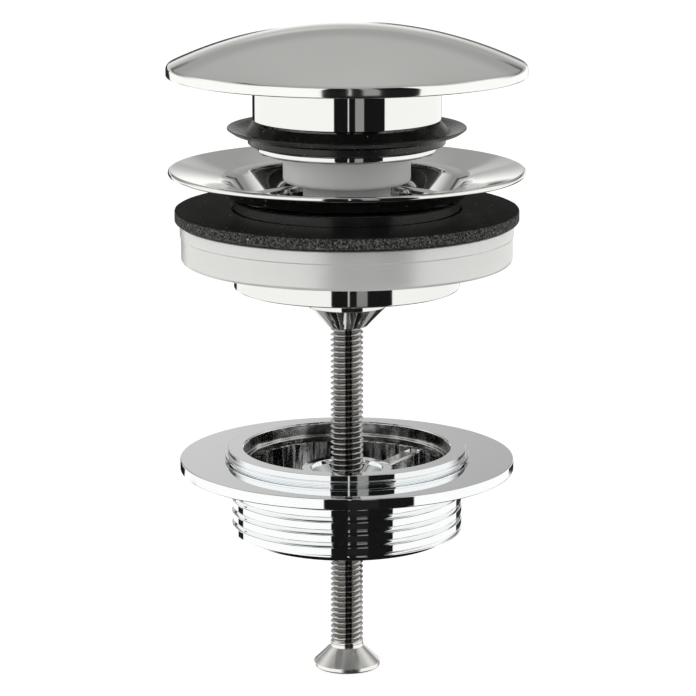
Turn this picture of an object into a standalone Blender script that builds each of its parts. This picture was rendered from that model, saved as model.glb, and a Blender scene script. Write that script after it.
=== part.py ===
"""Pop up basin waste, drawn apart on its clamping screw.

A push-open plug under a dome rides on a latching cartridge, which screws into the
hub of the upper body. A foam gasket and a plastic ring sit round the tail of the
upper body, and one countersunk screw draws the threaded lower body up to it.
Every piece is turned about the Z axis. All sizes are in metres.
"""

import math

import bmesh
import bpy
from mathutils import Matrix

# Clearance left between pieces that touch on the real product
GAP = 0.0003

# Clamping screw, M6 with a 90 degree countersunk head, its underside at height 0
SCREW_RADIUS = 0.0030
SCREW_LENGTH = 0.0700
SCREW_ENGAGED = 0.0058
SCREW_END_ROOM = 0.0010
SCREW_TIP_CHAMFER = 0.0007
HEAD_RADIUS = 0.00605
HEAD_LAND = 0.0009
RECESS_WIDTH = 0.0012
RECESS_LENGTH = 0.0062
RECESS_DEPTH = 0.0024

# Upper body, heights measured down from a datum plane a little above its rim
FLANGE_RADIUS = 0.0320
RIM_DEPTH = 0.0013
RIM_THICKNESS = 0.0010
DISH_FALL = math.radians(10.8)
BEND_RADIUS = 0.0218
BEND_ROUNDING = 0.0030
DISH_ANGLE = math.radians(55.5)
THROAT_DEPTH = 0.0072
THROAT_LIP_WIDTH = 0.0011
THROAT_LIP_FALL = 0.0003
THROAT_STEP = 0.0006
SEAT_WIDTH = 0.0025
SEAT_DEPTH = 0.0036
CAST_THROAT_RADIUS = 0.0174
TAIL_RADIUS = 0.02035
TAIL_DEPTH = 0.0228
TAIL_CHAMFER = 0.0003
UNDERCUT_RADIUS = 0.0240
UNDERCUT_DEPTH = 0.0068
HUB_RADIUS = 0.0096
HUB_TOP_DEPTH = 0.0155
NOSE_RADIUS = 0.0075
NOSE_START_DEPTH = 0.0262
NOSE_TIP_RADIUS = 0.0041
NOSE_CHAMFER = 0.0004
UPPER_ARM_WIDTH = 0.0036
UPPER_ARM_HEIGHT = 0.0060
ARM_INSET = 0.0003
ARM_ROOT = 0.0008

# Foam gasket and plastic ring round the tail
SEAL_CLEARANCE = 0.00035
GASKET_WIDTH = 0.0103
GASKET_THICKNESS = 0.0022
GASKET_DEPTH = 0.0085
RING_WIDTH = 0.0093
RING_HEIGHT = 0.0070
RING_BAND = 0.0022
RING_BOTTOM_ROUNDING = 0.0008
RING_TAPER = 0.0002

# Cartridge: a fixed tube with a latch inside, and the sleeve that slides over it
TUBE_RADIUS = 0.00785
TUBE_BORE_RADIUS = 0.0060
TUBE_TOP = 0.0032
TUBE_LIP_RADIUS = 0.0040
TUBE_LIP_HEIGHT = 0.0010
TUBE_FLOOR_THICKNESS = 0.0006
STOP_RADIUS = 0.0100
STOP_HEIGHT = 0.0010
TUBE_HEX_ACROSS = 0.0170
TUBE_HEX_HEIGHT = 0.0023
TUBE_STEM_RADIUS = 0.0060
TUBE_STEM_LENGTH = 0.0055
SLEEVE_RADIUS = 0.01145
SLEEVE_WALL = 0.00115
SLEEVE_BOTTOM_DEPTH = 0.0036
SLEEVE_LIP_HEIGHT = 0.0009
SLEEVE_BOTTOM_ROUNDING = 0.0007
SLEEVE_TOP = 0.0145
SLEEVE_ROOF = 0.0025

# Latch ring and rotor on the steel spindle
SPINDLE_RADIUS = 0.0025
SPINDLE_THREAD_RADIUS = 0.0040
SPINDLE_COLLAR_RADIUS = 0.0036
SPINDLE_COLLAR_HEIGHT = 0.0008
SPINDLE_TIP_LENGTH = 0.0007
SPINDLE_CHAMFER = 0.0005
LATCH_RING_HEIGHT = 0.0027
ROTOR_HEIGHT = 0.0027
TOOTH_COUNT = 8
TOOTH_DEPTH = 0.0010
CLIP_HEIGHT = 0.0008
CLIP_RADIUS = 0.0042
CLIP_GROOVE_RADIUS = 0.0019

# Lift spring round the tube, between its stop and the roof of the sleeve
SPRING_WIRE_RADIUS = 0.00045
SPRING_TURNS = 5
SPRING_POINTS_PER_TURN = 14

# Plug: dome, body, rubber seal, base ring and lock nut
DOME_SPHERE_RADIUS = 0.0745
DOME_APEX = 0.0246
DOME_RIM_RADIUS = 0.0322
DOME_RIM_ROUNDING = 0.0006
DOME_RIM_BAND = 0.0009
DOME_WALL = 0.0015
BOSS_ROOM = 0.0011
BOSS_RADIUS = 0.0070
PLUG_WALL = 0.0020
BASE_WALL = 0.0028
PLUG_RADIUS = SLEEVE_RADIUS + GAP + BASE_WALL + GAP + PLUG_WALL
PLUG_BOTTOM = 0.0075
WEB_THICKNESS = 0.0015
BASE_INSET = 0.00075
BASE_BOTTOM = 0.00175
BASE_THICKNESS = 0.0012
BASE_SPIGOT_HEIGHT = 0.0085
SEAL_BAND_OVERHANG = 0.00085
SEAL_BAND_HEIGHT = 0.0015
SEAL_NECK_OVERHANG = 0.00025
SEAL_LIP_OVERHANG = 0.00465
SEAL_LIP_HEIGHT = 0.0062
SEAL_LIP_THICKNESS = 0.0004
SEAL_LIP_WEB = 0.0008
SEAL_LIP_REACH = 0.0012
SEAL_TROUGH_WIDTH = 0.0016
SEAL_SHOULDER = 0.0004
SEAL_EDGE = 0.0003
NUT_ACROSS = 0.0130
NUT_HEIGHT = 0.0030

# Lower body, heights measured from the top of its flange
LOWER_FLANGE_HEIGHT = 0.0398
LOWER_FLANGE_RADIUS = 0.03035
LOWER_FLANGE_THICKNESS = 0.0020
EDGE_ROUNDING = 0.00025
COLLAR_HEIGHT = 0.0019
COLLAR_LAND_RADIUS = 0.02165
COLLAR_LAND_HEIGHT = 0.0011
BEAD_RADIUS = 0.02225
BEAD_ROUNDING = 0.0002
MOUTH_RADIUS = 0.01915
MOUTH_BORE_RADIUS = 0.0188
MOUTH_BORE_DEPTH = 0.0024
LEDGE_RADIUS = 0.0179
LEDGE_DROP = 0.0010
LOWER_BORE_RADIUS = 0.0170
PIPE_THREAD_RADIUS = 0.020955
PIPE_THREAD_DEPTH = 0.00148
PIPE_THREAD_PITCH = 0.002309
PIPE_THREAD_TURNS = 5
PIPE_THREAD_FLAT = 0.0004
LOWER_TAIL_CHAMFER = 0.0009
LOWER_TAIL_PLAIN = 0.00095
LOWER_HUB_RADIUS = 0.0084
LOWER_HUB_DEPTH = 0.0021
LOWER_HUB_WAIST = 0.0024
SINK_RADIUS = 0.0066
SCREW_BORE_RADIUS = 0.0033
LOWER_ARM_WIDTH = 0.0030
LOWER_ARM_ANGLE = math.radians(43)
LOWER_ARM_FALL = 0.0016
LOWER_ARM_HEIGHT = 0.0055

# Facets round a turned piece
FINE = 48
MEDIUM = 40
COARSE = 24

# Heights of the two castings above the underside of the screw head
NOSE_DEPTH = NOSE_START_DEPTH + NOSE_RADIUS - NOSE_TIP_RADIUS + NOSE_CHAMFER
CREST_HEIGHT = SCREW_LENGTH - SCREW_ENGAGED + NOSE_DEPTH

for old in list(bpy.data.objects):
    bpy.data.objects.remove(old, do_unlink=True)

PARTS = bpy.data.collections.new("pop_up_basin_waste")
CUTTERS = bpy.data.collections.new("cutters")
bpy.context.scene.collection.children.link(PARTS)
bpy.context.scene.collection.children.link(CUTTERS)


def finish(name, colour, roughness, metallic):
    """Return a plain material with one colour, roughness and metallic value."""
    material = bpy.data.materials.new(name)
    material.use_nodes = True
    shader = material.node_tree.nodes["Principled BSDF"]
    shader.inputs["Base Color"].default_value = (*colour, 1.0)
    shader.inputs["Roughness"].default_value = roughness
    shader.inputs["Metallic"].default_value = metallic
    return material


CHROME = finish("polished_chrome", (0.72, 0.72, 0.73), 0.06, 1.0)
STEEL = finish("stainless_steel", (0.42, 0.40, 0.37), 0.32, 1.0)
RUBBER = finish("black_rubber", (0.018, 0.018, 0.016), 0.55, 0.0)
FOAM = finish("black_foam", (0.035, 0.036, 0.034), 0.90, 0.0)
SLEEVE_PLASTIC = finish("light_grey_plastic", (0.52, 0.53, 0.54), 0.40, 0.0)
LATCH_PLASTIC = finish("white_plastic", (0.80, 0.80, 0.78), 0.35, 0.0)
RING_PLASTIC = finish("milky_plastic", (0.78, 0.80, 0.80), 0.35, 0.0)
SPRING_STEEL = finish("spring_steel", (0.45, 0.45, 0.46), 0.30, 1.0)


def frame(name, height):
    """Return an empty on the axis that carries the pieces drawn from its height."""
    empty = bpy.data.objects.new(name, None)
    empty.location = (0.0, 0.0, height)
    PARTS.objects.link(empty)
    return empty


UPPER = frame("upper_frame", CREST_HEIGHT)
LOWER = frame("lower_frame", LOWER_FLANGE_HEIGHT)
SCREW = frame("screw_frame", 0.0)


def place(name, mesh, carrier, material=None):
    """Add a mesh as a piece on its carrier, or as a hidden tool if it has no material."""
    piece = bpy.data.objects.new(name, mesh)
    piece.parent = carrier
    if material is None:
        piece.hide_render = True
        piece.display_type = "WIRE"
        CUTTERS.objects.link(piece)
    else:
        mesh.materials.append(material)
        PARTS.objects.link(piece)
    return piece


def arc(radius, height, size, start, end, steps=4):
    """Points of an arc about (radius, height), angles in degrees from +X upwards."""
    angles = [math.radians(start + (end - start) * i / steps) for i in range(steps + 1)]
    return [(radius + size * math.cos(a), height + size * math.sin(a)) for a in angles]


def turned(name, profile, carrier, material=None, facets=MEDIUM, hollow=True):
    """Turn a profile about Z: down its outer side, and back up inside when hollow."""
    count = len(profile)
    edges = [(i, i + 1) for i in range(count - 1)]
    if hollow:
        edges.append((count - 1, 0))
    mesh = bpy.data.meshes.new(name)
    mesh.from_pydata([(radius, 0.0, height) for radius, height in profile], edges, [])
    piece = place(name, mesh, carrier, material)
    turn = piece.modifiers.new("turn", "SCREW")
    turn.axis = "Z"
    turn.angle = math.tau
    turn.steps = facets
    turn.render_steps = facets
    turn.use_merge_vertices = True
    turn.merge_threshold = 0.00001
    turn.use_smooth_shade = True
    return piece


def block(name, size, centre, carrier, turn_about_x=0.0, turn_about_z=0.0):
    """Return a hidden box for joining or cutting, turned about X and then about Z."""
    shape = bmesh.new()
    bmesh.ops.create_cube(shape, size=1.0)
    bmesh.ops.scale(shape, vec=size, verts=shape.verts)
    bmesh.ops.rotate(shape, matrix=Matrix.Rotation(turn_about_x, 3, "X"), verts=shape.verts)
    bmesh.ops.translate(shape, vec=centre, verts=shape.verts)
    bmesh.ops.rotate(shape, matrix=Matrix.Rotation(turn_about_z, 3, "Z"), verts=shape.verts)
    mesh = bpy.data.meshes.new(name)
    shape.to_mesh(mesh)
    shape.free()
    return place(name, mesh, carrier)


def hexagon(name, across, bottom, height, carrier, material=None):
    """Return a hexagonal prism with the given distance across its flats."""
    shape = bmesh.new()
    corner = across / math.sqrt(3.0)
    bmesh.ops.create_cone(shape, cap_ends=True, segments=6, radius1=corner, radius2=corner, depth=height)
    bmesh.ops.translate(shape, vec=(0.0, 0.0, bottom + height / 2), verts=shape.verts)
    mesh = bpy.data.meshes.new(name)
    shape.to_mesh(mesh)
    shape.free()
    return place(name, mesh, carrier, material)


def combine(piece, tool, operation):
    """Join a tool to a piece with UNION, or cut it out with DIFFERENCE."""
    step = piece.modifiers.new(operation.lower(), "BOOLEAN")
    step.operation = operation
    step.object = tool
    step.solver = "EXACT"


def dome_cap():
    """Domed cover with a band at its rim and a threaded boss under its centre."""
    band_top = DOME_APEX - dome_drop(DOME_RIM_RADIUS - DOME_RIM_ROUNDING) - DOME_RIM_ROUNDING
    band_bottom = band_top - DOME_RIM_BAND
    rim = DOME_RIM_RADIUS
    slope = math.degrees(math.asin((rim - DOME_RIM_ROUNDING) / DOME_SPHERE_RADIUS))
    steps = 7
    reach = rim - 2 * DOME_RIM_ROUNDING
    outside = [(reach * i / steps, DOME_APEX - dome_drop(reach * i / steps)) for i in range(steps + 1)]
    centre = rim - DOME_RIM_ROUNDING
    outside += arc(centre, band_top, DOME_RIM_ROUNDING, 90 - slope, 0, 2)
    outside += arc(centre, band_bottom, DOME_RIM_ROUNDING, 0, -90, 2)
    inner_rim = rim - DOME_WALL
    inside = []
    for i in range(6):
        radius = inner_rim + (BOSS_RADIUS - inner_rim) * i / 5
        inside.append((radius, DOME_APEX - DOME_WALL - dome_drop(radius)))
    bore = SPINDLE_THREAD_RADIUS + GAP
    boss_bottom = WEB_TOP + GAP
    bore_top = SPINDLE_TOP + GAP
    inside += [(BOSS_RADIUS, boss_bottom), (bore, boss_bottom), (bore, bore_top), (0.0, bore_top)]
    return turned("dome_cap", outside + inside, UPPER, CHROME, FINE, hollow=False)


def dome_drop(radius):
    """How far the dome has fallen below its apex at a radius."""
    return DOME_SPHERE_RADIUS - math.sqrt(DOME_SPHERE_RADIUS ** 2 - radius ** 2)


# The stack of the plug, each piece resting on the one below
SLEEVE_ROOF_UNDERSIDE = SLEEVE_TOP - SLEEVE_ROOF
NUT_BOTTOM = SLEEVE_TOP + GAP
NUT_TOP = NUT_BOTTOM + NUT_HEIGHT
WEB_BOTTOM = NUT_TOP + GAP
WEB_TOP = WEB_BOTTOM + WEB_THICKNESS
SPINDLE_TOP = DOME_APEX - DOME_WALL - BOSS_ROOM


def plug_body():
    """Chromed cylinder with a web that rests on the lock nut."""
    inner = PLUG_RADIUS - PLUG_WALL
    top_outer = DOME_APEX - DOME_WALL - dome_drop(PLUG_RADIUS) - GAP
    top_inner = DOME_APEX - DOME_WALL - dome_drop(inner) - GAP
    bore = SPINDLE_THREAD_RADIUS + GAP
    profile = [
        (inner, top_outer),
        (PLUG_RADIUS, top_outer),
        (PLUG_RADIUS, PLUG_BOTTOM),
        (inner, PLUG_BOTTOM),
        (inner, WEB_BOTTOM),
        (bore, WEB_BOTTOM),
        (bore, WEB_TOP),
        (inner, WEB_TOP),
    ]
    profile[0] = (inner, min(top_outer, top_inner))
    return turned("plug_body", profile, UPPER, CHROME)


def plug_seal():
    """Rubber ring with a band, a neck and a thin lip turned up like a saucer."""
    inner = PLUG_RADIUS - PLUG_WALL
    bottom = BASE_BOTTOM + BASE_THICKNESS + GAP
    band_top = bottom + SEAL_BAND_HEIGHT
    tip = PLUG_RADIUS + SEAL_LIP_OVERHANG
    neck = PLUG_RADIUS + SEAL_NECK_OVERHANG
    band = PLUG_RADIUS + SEAL_BAND_OVERHANG
    top = PLUG_BOTTOM - GAP
    lip = SEAL_LIP_HEIGHT
    half = SEAL_LIP_THICKNESS / 2
    profile = [
        (inner, top),
        (PLUG_RADIUS, top),
        (PLUG_RADIUS + SEAL_SHOULDER, top - SEAL_SHOULDER),
        (PLUG_RADIUS + SEAL_TROUGH_WIDTH, lip - SEAL_LIP_WEB),
        (tip - SEAL_LIP_REACH, lip - half),
        (tip - half, lip),
        (tip, lip - half),
        (tip - SEAL_LIP_REACH, lip - half - SEAL_LIP_WEB),
        (neck + SEAL_SHOULDER, band_top + SEAL_EDGE),
        (neck, band_top),
        (band, band_top - SEAL_EDGE),
        (band, bottom + SEAL_EDGE),
        (band - SEAL_EDGE, bottom),
        (inner, bottom),
    ]
    return turned("plug_seal", profile, UPPER, RUBBER)


def plug_base():
    """Chromed ring that clamps the seal, with a spigot up into the plug body."""
    bore = SLEEVE_RADIUS + GAP
    spigot = PLUG_RADIUS - PLUG_WALL - GAP
    top = BASE_BOTTOM + BASE_THICKNESS
    rim = PLUG_RADIUS - BASE_INSET
    profile = [
        (bore, BASE_BOTTOM + BASE_SPIGOT_HEIGHT),
        (spigot, BASE_BOTTOM + BASE_SPIGOT_HEIGHT),
        (spigot, top),
        (rim - EDGE_ROUNDING, top),
        (rim, top - EDGE_ROUNDING),
        (rim, BASE_BOTTOM + EDGE_ROUNDING),
        (rim - EDGE_ROUNDING, BASE_BOTTOM),
        (bore, BASE_BOTTOM),
    ]
    return turned("plug_base", profile, UPPER, CHROME)


def lock_nut():
    """Thin hexagon nut that sets the height of the plug on its spindle."""
    nut = hexagon("lock_nut", NUT_ACROSS, NUT_BOTTOM, NUT_HEIGHT, UPPER, STEEL)
    bore = SPINDLE_THREAD_RADIUS + GAP
    over = NUT_TOP + GAP
    below = NUT_BOTTOM - GAP
    hole = [(0.0, over), (bore, over), (bore, below), (0.0, below)]
    combine(nut, turned("lock_nut_bore", hole, UPPER, None, COARSE, hollow=False), "DIFFERENCE")
    return nut


# The latch, from the lip of the tube downwards
LATCH_TOP = TUBE_TOP - TUBE_LIP_HEIGHT - GAP
LATCH_BOTTOM = LATCH_TOP - LATCH_RING_HEIGHT
ROTOR_TOP = LATCH_BOTTOM - GAP
ROTOR_BOTTOM = ROTOR_TOP - ROTOR_HEIGHT
CLIP_TOP = ROTOR_BOTTOM - GAP
CLIP_BOTTOM = CLIP_TOP - CLIP_HEIGHT
SPINDLE_BOTTOM = CLIP_BOTTOM - GAP - SPINDLE_TIP_LENGTH


def plug_spindle():
    """Steel spindle: thread for the plug, collar under the roof, groove for the clip."""
    rod = SPINDLE_RADIUS
    collar_top = SLEEVE_ROOF_UNDERSIDE - GAP
    profile = [
        (0.0, SPINDLE_TOP),
        (SPINDLE_THREAD_RADIUS - SPINDLE_CHAMFER, SPINDLE_TOP),
        (SPINDLE_THREAD_RADIUS, SPINDLE_TOP - SPINDLE_CHAMFER),
        (SPINDLE_THREAD_RADIUS, SLEEVE_TOP + GAP),
        (rod, SLEEVE_TOP + GAP),
        (rod, collar_top),
        (SPINDLE_COLLAR_RADIUS, collar_top),
        (SPINDLE_COLLAR_RADIUS, collar_top - SPINDLE_COLLAR_HEIGHT),
        (rod, collar_top - SPINDLE_COLLAR_HEIGHT),
        (rod, CLIP_TOP + GAP / 2),
        (CLIP_GROOVE_RADIUS, CLIP_TOP + GAP / 2),
        (CLIP_GROOVE_RADIUS, CLIP_BOTTOM - GAP),
        (rod, CLIP_BOTTOM - GAP),
        (rod, SPINDLE_BOTTOM),
        (0.0, SPINDLE_BOTTOM),
    ]
    return turned("plug_spindle", profile, UPPER, STEEL, COARSE, hollow=False)


def cartridge_sleeve():
    """Grey plastic sleeve: closed roof, thin wall and an inward lip at the bottom."""
    bore = SLEEVE_RADIUS - SLEEVE_WALL
    lip = TUBE_RADIUS + GAP
    bottom = -SLEEVE_BOTTOM_DEPTH
    edge = SLEEVE_BOTTOM_ROUNDING
    profile = [(SPINDLE_RADIUS + GAP, SLEEVE_TOP), (SLEEVE_RADIUS, SLEEVE_TOP)]
    profile += arc(SLEEVE_RADIUS - edge, bottom + edge, edge, 0, -90, 3)
    profile += [
        (lip, bottom),
        (lip, bottom + SLEEVE_LIP_HEIGHT),
        (bore, bottom + SLEEVE_LIP_HEIGHT),
        (bore, SLEEVE_ROOF_UNDERSIDE),
        (SPINDLE_RADIUS + GAP, SLEEVE_ROOF_UNDERSIDE),
    ]
    return turned("cartridge_sleeve", profile, UPPER, SLEEVE_PLASTIC, COARSE)


def cartridge_body():
    """Plastic tube with a stop for the sleeve, a hexagon and a stem for the hub."""
    stop_bottom = -SLEEVE_BOTTOM_DEPTH + SLEEVE_LIP_HEIGHT + GAP
    stop_top = stop_bottom + STOP_HEIGHT
    hex_bottom = -HUB_TOP_DEPTH + GAP
    stem_bottom = hex_bottom - TUBE_STEM_LENGTH
    floor = hex_bottom + TUBE_FLOOR_THICKNESS
    wall_bottom = hex_bottom + TUBE_FLOOR_THICKNESS / 3
    profile = [
        (0.0, floor),
        (TUBE_BORE_RADIUS, floor),
        (TUBE_BORE_RADIUS, TUBE_TOP - TUBE_LIP_HEIGHT),
        (TUBE_LIP_RADIUS, TUBE_TOP - TUBE_LIP_HEIGHT),
        (TUBE_LIP_RADIUS, TUBE_TOP),
        (TUBE_RADIUS, TUBE_TOP),
        (TUBE_RADIUS, stop_top),
        (STOP_RADIUS, stop_top),
        (STOP_RADIUS, stop_bottom),
        (TUBE_RADIUS, stop_bottom),
        (TUBE_RADIUS, wall_bottom),
        (TUBE_STEM_RADIUS, wall_bottom),
        (TUBE_STEM_RADIUS, stem_bottom + TAIL_CHAMFER),
        (TUBE_STEM_RADIUS - TAIL_CHAMFER, stem_bottom),
        (0.0, stem_bottom),
    ]
    tube = turned("cartridge_body", profile, UPPER, SLEEVE_PLASTIC, COARSE, hollow=False)
    grip = hexagon("cartridge_hexagon", TUBE_HEX_ACROSS, hex_bottom, TUBE_HEX_HEIGHT, UPPER)
    inside = (TUBE_BORE_RADIUS + TUBE_RADIUS) / 2
    hole_bottom = (floor + wall_bottom) / 2
    hole = [(0.0, TUBE_TOP), (inside, TUBE_TOP), (inside, hole_bottom), (0.0, hole_bottom)]
    hollow = turned("cartridge_hexagon_bore", hole, UPPER, None, COARSE, hollow=False)
    combine(grip, hollow, "DIFFERENCE")
    combine(tube, grip, "UNION")
    return tube


def toothed_ring(name, top, height, notch_height):
    """Plastic ring in the tube with notches milled across one face."""
    outer = TUBE_BORE_RADIUS - GAP
    inner = SPINDLE_RADIUS + GAP
    bottom = top - height
    profile = [(inner, top), (outer, top), (outer, bottom), (inner, bottom)]
    ring = turned(name, profile, UPPER, LATCH_PLASTIC, COARSE)
    side = TOOTH_DEPTH * math.sqrt(2.0)
    for i in range(TOOTH_COUNT // 2):
        angle = math.tau * (i + 0.25) / TOOTH_COUNT
        size = (3 * TUBE_BORE_RADIUS, side, side)
        cutter = block(f"{name}_notch_{i}", size, (0.0, 0.0, notch_height), UPPER, math.radians(45), angle)
        combine(ring, cutter, "DIFFERENCE")
    return ring


def rotor_clip():
    """Spring clip in the groove of the spindle, which holds the rotor on."""
    inner = CLIP_GROOVE_RADIUS + GAP
    profile = [(inner, CLIP_TOP), (CLIP_RADIUS, CLIP_TOP), (CLIP_RADIUS, CLIP_BOTTOM), (inner, CLIP_BOTTOM)]
    return turned("rotor_clip", profile, UPPER, SPRING_STEEL, COARSE)


def lift_spring():
    """Compression spring between the stop of the tube and the roof of the sleeve."""
    wire = SPRING_WIRE_RADIUS
    stop_top = -SLEEVE_BOTTOM_DEPTH + SLEEVE_LIP_HEIGHT + GAP + STOP_HEIGHT
    low = stop_top + GAP + wire
    high = SLEEVE_ROOF_UNDERSIDE - GAP - wire
    mean = (TUBE_RADIUS + SLEEVE_RADIUS - SLEEVE_WALL) / 2
    count = SPRING_TURNS * SPRING_POINTS_PER_TURN
    curve = bpy.data.curves.new("lift_spring", "CURVE")
    curve.dimensions = "3D"
    curve.bevel_depth = wire
    curve.bevel_resolution = 2
    curve.use_fill_caps = True
    path = curve.splines.new("POLY")
    path.points.add(count)
    for i, point in enumerate(path.points):
        angle = math.tau * i / SPRING_POINTS_PER_TURN
        height = low + (high - low) * i / count
        point.co = (mean * math.cos(angle), mean * math.sin(angle), height, 1.0)
    curve.materials.append(SPRING_STEEL)
    spring = bpy.data.objects.new("lift_spring", curve)
    spring.parent = UPPER
    PARTS.objects.link(spring)
    return spring


def upper_body():
    """Chromed casting: flange dished from its rim, throat, two arms, hub and conical nose."""
    edge = RIM_THICKNESS / 2
    rim = FLANGE_RADIUS - edge
    bend_depth = RIM_DEPTH + (rim - BEND_RADIUS) * math.tan(DISH_FALL)
    reach = BEND_ROUNDING * math.tan((DISH_ANGLE - DISH_FALL) / 2)
    bend_radius = BEND_RADIUS + reach * math.cos(DISH_FALL) + BEND_ROUNDING * math.sin(DISH_FALL)
    bend_height = -bend_depth + reach * math.sin(DISH_FALL) - BEND_ROUNDING * math.cos(DISH_FALL)
    fall, steep = math.degrees(DISH_FALL), math.degrees(DISH_ANGLE)
    throat = BEND_RADIUS - (THROAT_DEPTH - bend_depth) / math.tan(DISH_ANGLE)
    lip = throat - THROAT_LIP_WIDTH
    lip_depth = THROAT_DEPTH + THROAT_LIP_FALL
    profile = [(CAST_THROAT_RADIUS, -lip_depth - THROAT_STEP), (lip, -lip_depth), (throat, -THROAT_DEPTH)]
    profile += arc(bend_radius, bend_height, BEND_ROUNDING, 90 + steep, 90 + fall, 4)
    profile += arc(rim, -RIM_DEPTH - edge, edge, 90 + fall, -90, 4)
    profile += [
        (UNDERCUT_RADIUS + SEAT_WIDTH, -SEAT_DEPTH),
        (UNDERCUT_RADIUS, -SEAT_DEPTH),
        (TAIL_RADIUS, -UNDERCUT_DEPTH),
        (TAIL_RADIUS, -TAIL_DEPTH + TAIL_CHAMFER),
        (TAIL_RADIUS - TAIL_CHAMFER, -TAIL_DEPTH),
        (CAST_THROAT_RADIUS, -TAIL_DEPTH),
    ]
    body = turned("upper_body", profile, UPPER, CHROME, FINE)
    socket = TUBE_STEM_RADIUS + GAP
    socket_bottom = -HUB_TOP_DEPTH - TUBE_STEM_LENGTH - GAP
    screw_top = -NOSE_DEPTH + SCREW_ENGAGED + SCREW_END_ROOM
    shoulder = -HUB_TOP_DEPTH - UPPER_ARM_HEIGHT
    hub = [
        (0.0, socket_bottom),
        (socket, socket_bottom),
        (socket, -HUB_TOP_DEPTH),
        (HUB_RADIUS, -HUB_TOP_DEPTH),
        (HUB_RADIUS, shoulder),
        (NOSE_RADIUS, shoulder - HUB_RADIUS + NOSE_RADIUS),
        (NOSE_RADIUS, -NOSE_START_DEPTH),
        (NOSE_TIP_RADIUS, -NOSE_DEPTH + NOSE_CHAMFER),
        (NOSE_TIP_RADIUS - NOSE_CHAMFER, -NOSE_DEPTH),
        (SCREW_BORE_RADIUS, -NOSE_DEPTH),
        (SCREW_BORE_RADIUS, screw_top),
        (0.0, screw_top),
    ]
    combine(body, turned("upper_hub", hub, UPPER, None, MEDIUM, hollow=False), "UNION")
    start = HUB_RADIUS - ARM_ROOT
    end = (CAST_THROAT_RADIUS + TAIL_RADIUS) / 2
    size = (end - start, UPPER_ARM_WIDTH, UPPER_ARM_HEIGHT - 2 * ARM_INSET)
    for side in (0, 1):
        centre = ((start + end) / 2, 0.0, -HUB_TOP_DEPTH - UPPER_ARM_HEIGHT / 2)
        arm = block(f"upper_arm_{side}", size, centre, UPPER, 0.0, math.pi * side)
        combine(body, arm, "UNION")
    return body


def flange_gasket():
    """Flat foam ring that seals against the basin."""
    inner = TAIL_RADIUS + SEAL_CLEARANCE
    outer = inner + GASKET_WIDTH
    top = -GASKET_DEPTH
    bottom = top - GASKET_THICKNESS
    profile = [(inner, top), (outer, top), (outer, bottom), (inner, bottom)]
    return turned("flange_gasket", profile, UPPER, FOAM)


def seal_ring():
    """Milky plastic ring with a band at its top and a rounded lower edge."""
    inner = TAIL_RADIUS + SEAL_CLEARANCE
    outer = inner + RING_WIDTH
    top = -GASKET_DEPTH - GASKET_THICKNESS - GAP
    bottom = top - RING_HEIGHT
    lower = outer - RING_TAPER
    profile = [
        (inner, top),
        (outer, top),
        (outer, top - RING_BAND),
        (lower, top - RING_BAND - RING_TAPER),
    ]
    edge = RING_BOTTOM_ROUNDING
    profile += arc(lower - edge, bottom + edge, edge, 0, -90, 3)
    profile.append((inner, bottom))
    return turned("seal_ring", profile, UPPER, RING_PLASTIC)


def pipe_thread(top):
    """Ridges of the outside pipe thread below a height, with the last one chamfered."""
    crest = PIPE_THREAD_RADIUS
    root = crest - PIPE_THREAD_DEPTH
    half = PIPE_THREAD_PITCH / 2
    flat = PIPE_THREAD_FLAT / 2
    points = [(root, top)]
    for i in range(PIPE_THREAD_TURNS):
        middle = top - half * (2 * i + 1)
        points += [(crest, middle + flat), (crest, middle - flat), (root, middle - half)]
    return points


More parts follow.
